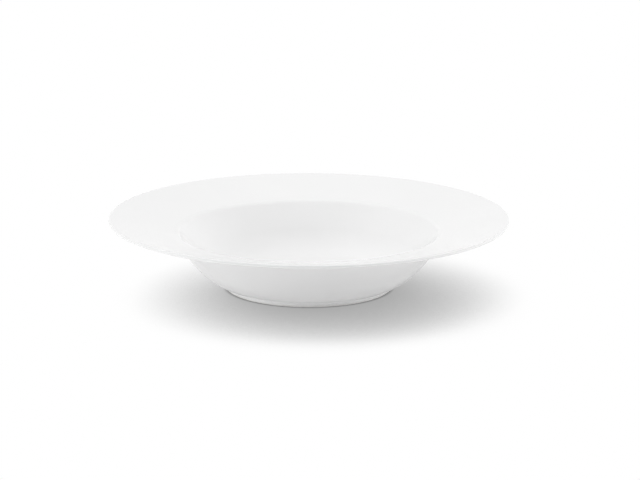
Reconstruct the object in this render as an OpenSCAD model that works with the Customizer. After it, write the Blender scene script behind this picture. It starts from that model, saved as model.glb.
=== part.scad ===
// Rim soup plate: a porcelain body turned about the Z axis, and the two areas of glaze on it.
// It stands on its foot ring at z = 0. Lengths are in millimetres, slopes in degrees from level.

/* [Plate] */
// Outside diameter over the lip
plate_d = 230; // [215:1:260]
// Height from the standing edge to the top of the lip
plate_h = 41.5; // [38:0.5:45]

/* [Rim] */
// Slope of the rim's top face
rim_slope = 12; // [9:0.5:15]
// How much steeper the underside is, so that the rim thickens towards the well
rim_taper = 1.5; // [0.5:0.1:2.5]
// Thickness of the full-round lip
lip_t = 2; // [1.6:0.1:3]

/* [Well] */
// Height of the flat floor above the table
floor_z = 6.5; // [6:0.1:8]
// Radius of the cove between the floor and the wall
cove_r = 30; // [15:1:36]
// Slope of the wall, inside and outside
wall_slope = 52; // [45:1:60]
// Thickness of the wall
wall_t = 4.6; // [3.5:0.1:5.5]
// Radius of the edge where the wall turns out into the rim
well_edge_r = 5; // [2:0.5:10]

/* [Underside] */
// Radius of the bowl's outside, from the foot ring up to the straight wall
bowl_r = 38; // [32:1:48]
// Slope of the bowl where it leaves the foot ring
bowl_slope = 18; // [14:1:26]
// Radius of the flare from the wall out to the rim's underside
flare_r = 7; // [4:0.5:12]

/* [Foot ring] */
// Outside diameter
foot_d = 97; // [90:1:104]
// Height of the ring's outer side, up to the bowl
foot_h = 2.2; // [2.1:0.1:3]
// Width of the flat that stands on the table
stand_w = 1.8; // [1:0.1:3]
// Radius of the ring's two lower edges
foot_edge_r = 0.8; // [0.4:0.1:0.8]
// Radius of the fillet between the ring's outer side and the bowl
foot_fillet_r = 1.2; // [0.4:0.1:1.3]
// Slope of the ring's inner side
foot_inner_slope = 60; // [45:1:75]
// Height of the recess inside the ring
recess_z = 2.6; // [2.4:0.1:3.2]
// Radius of the fillet between the ring's inner side and the recess
recess_r = 1.2; // [0.8:0.1:1.4]

/* [Glaze] */
// Thickness of the fired glaze
glaze_t = 0.3; // [0.2:0.05:0.4]
// Height of the wiped, bare edge of the foot ring
bare_h = 0.9; // [0.85:0.05:1]

/* [Hidden] */

glaze_colour = "#f3f3f2";
porcelain_colour = "#e6e3dd";
arc_step = 4;
turn_fn = 180;

rim_under_slope = rim_slope + rim_taper;
foot_r = foot_d / 2;

// A direction at an angle, and the normal that points up from a line of that slope
function along(angle) = [cos(angle), sin(angle)];
function above(slope) = [-sin(slope), cos(slope)];

// Where the line from p along slope a crosses the line from q along slope b
function meet(p, a, q, b) =
    let (d = q - p, ua = along(a), ub = along(b))
    p + ua * (d.x * ub.y - d.y * ub.x) / (ua.x * ub.y - ua.y * ub.x);

// Points on an arc about a centre
function arc(centre, radius, from, to) =
    let (steps = ceil(abs(to - from) / arc_step))
    [for (i = [0:steps]) centre + radius * along(from + (to - from) * i / steps)];

function reversed(points) = [for (i = [len(points) - 1:-1:0]) points[i]];

// Centre of the full-round lip
lip_centre = [plate_d / 2 - lip_t / 2, plate_h - lip_t / 2];

// One point on each straight stretch of the glazed section
rim_top = lip_centre + lip_t / 2 * above(rim_slope);
rim_under = lip_centre - lip_t / 2 * above(rim_under_slope);
bowl_centre = [foot_r, foot_h] + bowl_r * above(bowl_slope);
wall_outside = bowl_centre - bowl_r * above(wall_slope);
wall_inside = wall_outside + wall_t * above(wall_slope);

// Centres of the bends between those stretches
cove_centre = meet(wall_inside + cove_r * above(wall_slope), wall_slope, [0, floor_z + cove_r], 0);
well_edge_centre = meet(wall_inside - well_edge_r * above(wall_slope), wall_slope,
                        rim_top - well_edge_r * above(rim_slope), rim_slope);
flare_centre = meet(wall_outside - flare_r * above(wall_slope), wall_slope,
                    rim_under - flare_r * above(rim_under_slope), rim_under_slope);

// The fillet above the ring's outer side touches that side and the bowl
fillet_x = foot_r + foot_fillet_r;
fillet_drop = sqrt((bowl_r + foot_fillet_r) ^ 2 - (fillet_x - bowl_centre.x) ^ 2);
foot_fillet_centre = [fillet_x, bowl_centre.y - fillet_drop];
foot_fillet_from = atan2(fillet_drop, bowl_centre.x - fillet_x);

// The bare standing edge, and the ring's inner side, which leans inwards as it rises
outer_edge_centre = [foot_r - glaze_t - foot_edge_r, foot_edge_r];
inner_edge_centre = outer_edge_centre - [stand_w, 0];
inner_side_slope = 180 - foot_inner_slope;
inner_side = inner_edge_centre + foot_edge_r * along(-90 - foot_inner_slope);
recess_centre = meet(inner_side + (recess_r + glaze_t) * above(inner_side_slope), inner_side_slope,
                     [0, recess_z - recess_r], 0);

// Section of the face that the glaze coat covers, from the axis out over the lip and down to the foot.
// It lies at a depth below the glaze's surface: hollow bends widen by that depth and full ones tighten.
function coated_face(depth) = concat(
    [[0, floor_z - depth]],
    arc(cove_centre, cove_r + depth, -90, wall_slope - 90),
    arc(well_edge_centre, well_edge_r - depth, wall_slope + 90, rim_slope + 90),
    arc(lip_centre, lip_t / 2 - depth, rim_slope + 90, rim_under_slope - 90),
    arc(flare_centre, flare_r + depth, rim_under_slope + 90, wall_slope + 90),
    arc(bowl_centre, bowl_r - depth, wall_slope - 90, foot_fillet_from - 180),
    arc(foot_fillet_centre, foot_fillet_r + depth, foot_fillet_from, 180),
    [[foot_r - depth, bare_h + glaze_t - depth]]
);

// Section of the recess, from the wipe line on the ring's inner side in to the axis
function recess_face(depth) =
    let (wipe_z = bare_h + glaze_t - depth,
         side = inner_side + (glaze_t - depth) * above(inner_side_slope))
    concat(
        [meet(side, inner_side_slope, [0, wipe_z], 0)],
        arc(recess_centre, recess_r + depth, 90 - foot_inner_slope, 90),
        [[0, recess_z + depth]]
    );

// Section of the wiped edge that stands on the table
bare_edge = concat(
    arc(outer_edge_centre, foot_edge_r, 0, -90),
    arc(inner_edge_centre, foot_edge_r, -90, -90 - foot_inner_slope)
);

module turned(outline) {
    rotate_extrude($fn = turn_fn) polygon(outline);
}

// The fired body, bare porcelain under the glaze and at the standing edge
module porcelain_body() {
    color(porcelain_colour) turned(concat(coated_face(glaze_t), bare_edge, recess_face(glaze_t)));
}

// Glaze over the well, the rim, the lip, the underside and the outer side of the foot ring
module glaze_coat() {
    color(glaze_colour) turned(concat(coated_face(0), reversed(coated_face(glaze_t))));
}

// Glaze inside the foot ring, parted from the coat by the bare edge
module foot_recess_glaze() {
    color(glaze_colour) turned(concat(recess_face(0), reversed(recess_face(glaze_t))));
}

porcelain_body();
glaze_coat();
foot_recess_glaze();
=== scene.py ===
import math

import bpy
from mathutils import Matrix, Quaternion, Vector


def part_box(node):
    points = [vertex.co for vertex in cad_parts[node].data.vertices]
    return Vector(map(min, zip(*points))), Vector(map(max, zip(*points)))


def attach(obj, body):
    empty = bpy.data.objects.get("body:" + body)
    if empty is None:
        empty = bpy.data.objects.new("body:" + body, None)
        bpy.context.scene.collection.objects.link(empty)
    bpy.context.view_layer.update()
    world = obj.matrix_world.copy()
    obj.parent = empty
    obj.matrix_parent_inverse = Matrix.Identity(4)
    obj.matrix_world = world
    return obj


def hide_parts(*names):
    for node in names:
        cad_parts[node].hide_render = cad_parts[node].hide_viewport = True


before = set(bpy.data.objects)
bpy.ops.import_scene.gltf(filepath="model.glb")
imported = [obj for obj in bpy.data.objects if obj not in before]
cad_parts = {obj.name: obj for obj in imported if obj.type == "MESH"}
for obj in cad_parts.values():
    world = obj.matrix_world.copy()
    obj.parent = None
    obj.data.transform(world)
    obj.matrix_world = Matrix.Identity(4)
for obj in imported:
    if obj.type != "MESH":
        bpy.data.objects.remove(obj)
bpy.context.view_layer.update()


# The porcelain body: rim, lip, wall, floor and foot ring are one lump of clay, jiggered on a wheel and
# fired hard. Only the standing edge of the foot ring is left bare, wiped clean before the glaze firing,
# so that it shows as a matt ring of slightly warm white under the glazed plate.
MM = 0.001
body_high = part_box("porcelain_body")[1]
coat_low, coat_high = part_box("glaze_coat")
pool_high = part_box("foot_recess_glaze")[1]
plate_r = coat_high.x
plate_h = coat_high.z
glaze_t = coat_high.z - body_high.z
bare_h = coat_low.z
recess_z = pool_high.z - glaze_t
rim_slope = 12
rim_under_slope = 13.5
lip_t = 2 * MM
well_floor_z = 6.5 * MM
cove_r = 30 * MM
wall_slope = 52
wall_t = 4.6 * MM
well_edge_r = 5 * MM
bowl_r = 38 * MM
bowl_slope = 18
flare_r = 7 * MM
foot_r = 48.5 * MM
foot_h = 2.2 * MM
stand_w = 1.8 * MM
foot_edge_r = 0.8 * MM
foot_fillet_r = 1.2 * MM
foot_inner_slope = 60
recess_r = 1.2 * MM
bend_step = 3
turn_steps = 192
merge_gap = 0.001 * MM
smooth_angle = 30


def along(angle):
    """A direction in the section, whose first axis runs out from the plate's axis and second runs up."""
    return Vector((math.cos(math.radians(angle)), math.sin(math.radians(angle))))


def above(slope):
    """The normal that points up from a line of that slope."""
    return along(slope + 90)


def meet(first, first_slope, second, second_slope):
    """Where a line through one point crosses a line through another."""
    run = along(first_slope)
    cut = along(second_slope)
    return first + run * ((second - first).cross(cut) / run.cross(cut))


lip_centre = Vector((plate_r - lip_t / 2, plate_h - lip_t / 2))
rim_top = lip_centre + lip_t / 2 * above(rim_slope)
rim_under = lip_centre - lip_t / 2 * above(rim_under_slope)
bowl_centre = Vector((foot_r, foot_h)) + bowl_r * above(bowl_slope)
wall_outside = bowl_centre - bowl_r * above(wall_slope)
wall_inside = wall_outside + wall_t * above(wall_slope)
cove_centre = meet(
    wall_inside + cove_r * above(wall_slope), wall_slope,
    Vector((0, well_floor_z + cove_r)), 0,
)
well_edge_centre = meet(
    wall_inside - well_edge_r * above(wall_slope), wall_slope,
    rim_top - well_edge_r * above(rim_slope), rim_slope,
)
flare_centre = meet(
    wall_outside - flare_r * above(wall_slope), wall_slope,
    rim_under - flare_r * above(rim_under_slope), rim_under_slope,
)
fillet_out = foot_r + foot_fillet_r - bowl_centre.x
fillet_drop = math.sqrt((bowl_r + foot_fillet_r) ** 2 - fillet_out ** 2)
foot_fillet_centre = bowl_centre + Vector((fillet_out, -fillet_drop))
foot_fillet_from = math.degrees(math.atan2(fillet_drop, -fillet_out))
outer_edge_centre = Vector((foot_r - glaze_t - foot_edge_r, foot_edge_r))
inner_edge_centre = outer_edge_centre - Vector((stand_w, 0))
inner_side_slope = 180 - foot_inner_slope
inner_side = inner_edge_centre + foot_edge_r * along(-90 - foot_inner_slope)
recess_centre = meet(
    inner_side + (recess_r + glaze_t) * above(inner_side_slope), inner_side_slope,
    Vector((0, recess_z - recess_r)), 0,
)


def coated_bends(depth):
    """Bends of the coated face, from the floor out over the lip and down to the foot, at a depth under the
    glaze's surface. Each is its centre, its radius and the angles that it runs between."""
    return [
        (cove_centre, cove_r + depth, -90, wall_slope - 90),
        (well_edge_centre, well_edge_r - depth, wall_slope + 90, rim_slope + 90),
        (lip_centre, lip_t / 2 - depth, rim_slope + 90, rim_under_slope - 90),
        (flare_centre, flare_r + depth, rim_under_slope + 90, wall_slope + 90),
        (bowl_centre, bowl_r - depth, wall_slope - 90, foot_fillet_from - 180),
        (foot_fillet_centre, foot_fillet_r + depth, foot_fillet_from, 180),
    ]


def recess_bend(depth):
    """The bend between the foot ring's inner side and the recess."""
    return (recess_centre, recess_r + depth, 90 - foot_inner_slope, 90)


def backwards(bends):
    """The same bends, followed from the other end."""
    return [(centre, radius, end, begin) for centre, radius, begin, end in reversed(bends)]


def turned_piece(name, start, bends, finish):
    """Draws a section from point to point, straight to each bend and then round it, and turns it about Z.
    The pen that draws it is a small plane, merged to one point."""
    bpy.ops.object.select_all(action="DESELECT")
    bpy.ops.mesh.primitive_plane_add(size=lip_t)
    piece = bpy.context.object
    piece.name = name
    bpy.ops.object.mode_set(mode="EDIT")
    bpy.ops.mesh.merge(type="CENTER")
    bpy.ops.transform.translate(value=(start.x, 0, start.y))
    pen = start
    for centre, radius, begin, end in bends:
        line = centre + radius * along(begin) - pen
        bpy.ops.mesh.extrude_region_move(TRANSFORM_OT_translate={"value": (line.x, 0, line.y)})
        bpy.ops.mesh.spin(
            steps=math.ceil(abs(end - begin) / bend_step), angle=math.radians(end - begin),
            center=(centre.x, 0, centre.y), axis=(0, 1, 0),
        )
        pen = centre + radius * along(end)
    line = finish - pen
    bpy.ops.mesh.extrude_region_move(TRANSFORM_OT_translate={"value": (line.x, 0, line.y)})
    bpy.ops.mesh.select_all(action="SELECT")
    bpy.ops.mesh.spin(steps=turn_steps, angle=math.tau, center=(0, 0, 0), axis=(0, 0, 1))
    bpy.ops.mesh.select_all(action="SELECT")
    bpy.ops.mesh.remove_doubles(threshold=merge_gap)
    bpy.ops.mesh.normals_make_consistent(inside=False)
    bpy.ops.object.mode_set(mode="OBJECT")
    bpy.ops.object.shade_smooth_by_angle(angle=math.radians(smooth_angle))
    return piece


body = turned_piece(
    "plate_body",
    Vector((0, well_floor_z - glaze_t)),
    coated_bends(glaze_t)
    + [
        (outer_edge_centre, foot_edge_r, 0, -90),
        (inner_edge_centre, foot_edge_r, -90, -90 - foot_inner_slope),
        recess_bend(glaze_t),
    ],
    Vector((0, recess_z + glaze_t)),
)


def add_node(tree, kind, values=None, links=None, **settings):
    """Adds a node to a tree, with values on its sockets and links into them from other nodes' sockets."""
    node = tree.nodes.new(kind)
    for setting, value in settings.items():
        setattr(node, setting, value)
    for socket, value in (values or {}).items():
        node.inputs[socket].default_value = value
    for socket, source in (links or {}).items():
        tree.links.new(source, node.inputs[socket])
    return node


# What the kiln leaves on any fired surface: slow patches of tone, and a fine ripple
patch_noise = {"Detail": 3, "Roughness": 0.55}
ripple_noise = {"Detail": 2, "Roughness": 0.5}
fired_surface = bpy.data.node_groups.new("fired_surface", "ShaderNodeTree")
fired_surface.interface.new_socket("Place", in_out="INPUT", socket_type="NodeSocketVector")
for socket in ("Patch Scale", "Ripple Scale"):
    fired_surface.interface.new_socket(socket, in_out="INPUT", socket_type="NodeSocketFloat")
for socket in ("Mottle", "Ripple"):
    fired_surface.interface.new_socket(socket, in_out="OUTPUT", socket_type="NodeSocketFloat")
group_in = fired_surface.nodes.new("NodeGroupInput").outputs
patches = add_node(
    fired_surface, "ShaderNodeTexNoise", patch_noise,
    {"Vector": group_in["Place"], "Scale": group_in["Patch Scale"]},
)
ripples = add_node(
    fired_surface, "ShaderNodeTexNoise", ripple_noise,
    {"Vector": group_in["Place"], "Scale": group_in["Ripple Scale"]},
)
add_node(
    fired_surface, "NodeGroupOutput",
    links={"Mottle": patches.outputs["Fac"], "Ripple": ripples.outputs["Fac"]},
)


def fired_finish(name, tones, roughness, patch_scale, ripple_scale, ripple_strength, ripple_depth):
    """A fired material, whose tone and roughness follow the patches and whose relief is the ripple. Each tone
    is a level of the patches and its colour; the roughness is that of the lowest and the highest level."""
    finish = bpy.data.materials.new(name)
    finish.use_nodes = True
    tree = finish.node_tree
    place = tree.nodes.new("ShaderNodeTexCoord").outputs["Object"]
    fired = add_node(
        tree, "ShaderNodeGroup", {"Patch Scale": patch_scale, "Ripple Scale": ripple_scale}, {"Place": place},
        node_tree=fired_surface,
    ).outputs
    tone = add_node(tree, "ShaderNodeValToRGB", links={"Fac": fired["Mottle"]})
    for mark, (level, colour) in zip(tone.color_ramp.elements, tones):
        mark.position = level
        mark.color = colour
    polish = add_node(
        tree, "ShaderNodeMapRange", {"To Min": roughness[0], "To Max": roughness[1]},
        {"Value": fired["Mottle"]},
    )
    relief = add_node(
        tree, "ShaderNodeBump", {"Strength": ripple_strength, "Distance": ripple_depth},
        {"Height": fired["Ripple"]},
    )
    shader = tree.nodes["Principled BSDF"].inputs
    tree.links.new(tone.outputs["Color"], shader["Base Color"])
    tree.links.new(polish.outputs["Result"], shader["Roughness"])
    tree.links.new(relief.outputs["Normal"], shader["Normal"])
    return finish


bare_porcelain = fired_finish(
    "bare_porcelain",
    tones=((0.3, (0.77, 0.762, 0.745, 1)), (0.65, (0.84, 0.834, 0.82, 1))),
    roughness=(0.66, 0.5),
    patch_scale=180,
    ripple_scale=3500,
    ripple_strength=0.5,
    ripple_depth=0.02 * MM,
)
body.data.materials.append(bare_porcelain)
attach(body, "root")
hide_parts("porcelain_body")


# The glaze coat: a clear glass skin about a third of a millimetre thick over the well, the rim, the lip
# and the underside. The plate is dipped and fired again; the skin ends in a soft bead at the wipe line
# on the outer side of the foot ring.
glaze_ior = 1.5
wipe_bead = (Vector((foot_r - glaze_t, bare_h + glaze_t)), glaze_t, 0, -90)
coat = turned_piece(
    "plate_glaze",
    Vector((0, well_floor_z)),
    coated_bends(0) + [wipe_bead] + backwards(coated_bends(glaze_t)),
    Vector((0, well_floor_z - glaze_t)),
)
clear_glaze = fired_finish(
    "clear_glaze",
    tones=((0.3, (0.888, 0.888, 0.888, 1)), (0.7, (0.902, 0.902, 0.902, 1))),
    roughness=(0.08, 0.16),
    patch_scale=22,
    ripple_scale=420,
    ripple_strength=0.3,
    ripple_depth=0.01 * MM,
)
clear_glaze.node_tree.nodes["Principled BSDF"].inputs["IOR"].default_value = glaze_ior
coat.data.materials.append(clear_glaze)
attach(coat, "root")
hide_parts("glaze_coat")


# The glaze in the recess: the dip fills the inside of the foot ring too, and wiping the standing edge
# parts it from the coat. It is the same glass, ending in a bead on the ring's inner side.
recess_wipe = meet(inner_side, inner_side_slope, Vector((0, bare_h)), 0)
recess_bead_centre = recess_wipe + glaze_t * along(inner_side_slope)
recess_bead = (recess_bead_centre, glaze_t, -90 - foot_inner_slope, -foot_inner_slope)
pool = turned_piece(
    "recess_glaze",
    Vector((0, recess_z)),
    backwards([recess_bend(0)]) + [recess_bead, recess_bend(glaze_t)],
    Vector((0, recess_z + glaze_t)),
)
pool.data.materials.append(clear_glaze)
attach(pool, "root")
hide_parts("foot_recess_glaze")


# The floor: a plain pale studio sweep, a hair's gap under the standing edge. It shows white, with the
# plate's soft shadow painted on. For the light that it throws back at the plate it is pale paint with a
# painted glow, which is no lamp, and from below it can't be seen.
floor_w = 12
floor_gap = 0.05 * MM
floor_white = 0.9
# Painted shadow: how much the plate hides of three wide lights, each with its azimuth, lean from upright and
# weight
shade_lights = ((90, 70, 0.803), (180, 70, 0.34), (270, 45, 0.156))
shade_reach = 0.1
shade_from = 0.46
shade_deepest = 0.394
# Painted contact shade: the floor shows darker within this reach of the foot, by this depth
contact_reach = 2 * MM
contact_depth = 0.7
# The floor's painted glow, no lamp: most in the recess to show it from below, some near the foot in place of
# light through porcelain
recess_glow = 0.36
recess_glow_to = outer_edge_centre.x
recess_glow_fade = 0.05 * MM
foot_glow = 0.238
foot_glow_from = 55 * MM
foot_glow_to = 75 * MM
floor_glow = 0.145


def seen_rays(tree):
    """1 on rays that show a surface, straight or in gloss or glass, and 0 on those that only light others."""
    path = tree.nodes.new("ShaderNodeLightPath").outputs
    shown = path["Is Camera Ray"]
    for ray in ("Is Glossy Ray", "Is Transmission Ray"):
        either = add_node(tree, "ShaderNodeMath", links={0: shown, 1: path[ray]}, operation="MAXIMUM")
        shown = either.outputs[0]
    return shown


def towards(azimuth, elevation):
    """A direction in space; azimuth 0 is to the right of the photograph, and 90 is behind the plate."""
    level = along(azimuth) * math.cos(math.radians(elevation))
    return Vector((level.x, level.y, math.sin(math.radians(elevation))))


bpy.ops.object.select_all(action="DESELECT")
bpy.ops.mesh.primitive_plane_add(size=floor_w, location=(0, 0, -floor_gap))
floor = bpy.context.object
floor.name = "studio_floor"
floor_paint = bpy.data.materials.new("studio_floor")
floor_paint.use_nodes = True
# The wide floor isn't sampled as a lamp, or the lamps would get few rays and the plate would be speckled
floor_paint.cycles.emission_sampling = "NONE"
tree = floor_paint.node_tree
tree.nodes.remove(tree.nodes["Principled BSDF"])
open_light = None
for azimuth, lean, weight in shade_lights:
    light_side = add_node(tree, "ShaderNodeCombineXYZ", dict(enumerate(towards(azimuth, 90 - lean))))
    openness = add_node(
        tree, "ShaderNodeAmbientOcclusion", {"Distance": shade_reach}, {"Normal": light_side.outputs[0]},
    )
    lights_before = {2: open_light} if open_light else {}
    open_light = add_node(
        tree, "ShaderNodeMath", {1: weight, 2: 0}, {0: openness.outputs["AO"], **lights_before},
        operation="MULTIPLY_ADD",
    ).outputs[0]
# The painted shadow: the floor's shown white is darkened where the plate hides the three wide lights
shade = add_node(
    tree, "ShaderNodeMapRange", {"From Min": shade_from, "To Min": shade_deepest}, {"Value": open_light},
    interpolation_type="SMOOTHSTEP",
)
# A painted contact shade: the floor shows darker right at the foot
touch = add_node(tree, "ShaderNodeAmbientOcclusion", {"Distance": contact_reach})
painted_contact_shade = add_node(
    tree, "ShaderNodeMapRange", {"To Min": 1 - contact_depth}, {"Value": touch.outputs["AO"]},
)
painted_shadow_level = add_node(
    tree, "ShaderNodeMath", links={0: shade.outputs[0], 1: painted_contact_shade.outputs[0]}, operation="MULTIPLY",
)
shown_with_painted_shadow = add_node(tree, "ShaderNodeEmission", links={"Strength": painted_shadow_level.outputs[0]})
plain = add_node(tree, "ShaderNodeBsdfDiffuse", {"Color": (floor_white, floor_white, floor_white, 1)})
place = tree.nodes.new("ShaderNodeTexCoord").outputs["Object"]
from_axis = add_node(tree, "ShaderNodeVectorMath", links={0: place}, operation="LENGTH").outputs["Value"]
outside_glow = add_node(
    tree, "ShaderNodeMapRange",
    {"From Min": foot_glow_from, "From Max": foot_glow_to, "To Min": foot_glow, "To Max": floor_glow},
    {"Value": from_axis},
)
glow_level = add_node(
    tree, "ShaderNodeMapRange",
    {"From Min": recess_glow_to - recess_glow_fade, "From Max": recess_glow_to, "To Min": recess_glow},
    {"Value": from_axis, "To Max": outside_glow.outputs[0]},
)
# The painted glow: the floor gives off light on rays that only light the plate, though it is no lamp
glow = add_node(tree, "ShaderNodeEmission", links={"Strength": glow_level.outputs[0]})
lighting = add_node(tree, "ShaderNodeAddShader", links={0: plain.outputs[0], 1: glow.outputs[0]})
paint = add_node(
    tree, "ShaderNodeMixShader", links={0: seen_rays(tree), 1: lighting.outputs[0], 2: shown_with_painted_shadow.outputs[0]},
)
nothing = tree.nodes.new("ShaderNodeBsdfTransparent")
from_below = tree.nodes.new("ShaderNodeNewGeometry").outputs["Backfacing"]
one_sided = add_node(
    tree, "ShaderNodeMixShader", links={0: from_below, 1: paint.outputs[0], 2: nothing.outputs[0]},
)
tree.links.new(one_sided.outputs[0], tree.nodes["Material Output"].inputs["Surface"])
floor.data.materials.append(floor_paint)


# The studio: a white tent, which fills the shadows and which the glaze mirrors, and a soft lamp and a low
# card on each side of the plate, which the glaze doesn't mirror.
tent_fill = 0.25
tent_seen = 1
tent_white = (1, 1, 1, 1)
lamp_distance = 2.5
lamp_w = 1.1
# Each lamp's name, azimuth, elevation and power in watts
lamps = (
    ("right_lamp", 0, 65, 31.8),
    ("right_card", 0, 15, 13.6),
    ("left_lamp", 180, 40, 17.3),
    ("left_card", 200, 15, 16.6),
)
world = bpy.data.worlds.new("studio_tent")
bpy.context.scene.world = world
world.use_nodes = True
tree = world.node_tree
tent = tree.nodes["Background"].inputs
tent_level = add_node(
    tree, "ShaderNodeMapRange", {"To Min": tent_fill, "To Max": tent_seen}, {"Value": seen_rays(tree)},
)
tree.links.new(tent_level.outputs[0], tent["Strength"])
tent["Color"].default_value = tent_white
for name, azimuth, elevation, power in lamps:
    light = bpy.data.lights.new(name, "AREA")
    light.shape = "DISK"
    light.size = lamp_w
    light.energy = power
    lamp = bpy.data.objects.new(name, light)
    bpy.context.scene.collection.objects.link(lamp)
    lamp.visible_glossy = False
    lamp.location = lamp_distance * towards(azimuth, elevation)
    lamp.rotation_euler = (-lamp.location).to_track_quat("-Z", "Y").to_euler()


# The camera: a long lens, far back and a little above the plate. It is aimed at what lies in the middle of
# the photograph's frame, and rolled by a hair, as the photograph is.
camera_distance = 1.5
camera_elevation = 14.14
camera_target = Vector((0, 0, 20 * MM))
camera_aim = Vector((6.4 * MM, 1.7 * MM, 26.7 * MM))
camera_roll = 0.18
camera_lens_mm = 146.2
camera_sensor_mm = 36
camera_data = bpy.data.cameras.new("camera")
camera_data.lens = camera_lens_mm
camera_data.sensor_width = camera_sensor_mm
camera = bpy.data.objects.new("camera", camera_data)
bpy.context.scene.collection.objects.link(camera)
back = along(camera_elevation) * camera_distance
camera.location = camera_target + Vector((0, -back.x, back.y))
look = (camera_aim - camera.location).to_track_quat("-Z", "Y")
camera.rotation_euler = (look @ Quaternion((0, 0, 1), math.radians(camera_roll))).to_euler()
bpy.context.scene.camera = camera
bpy.context.scene.view_settings.view_transform = "Standard"
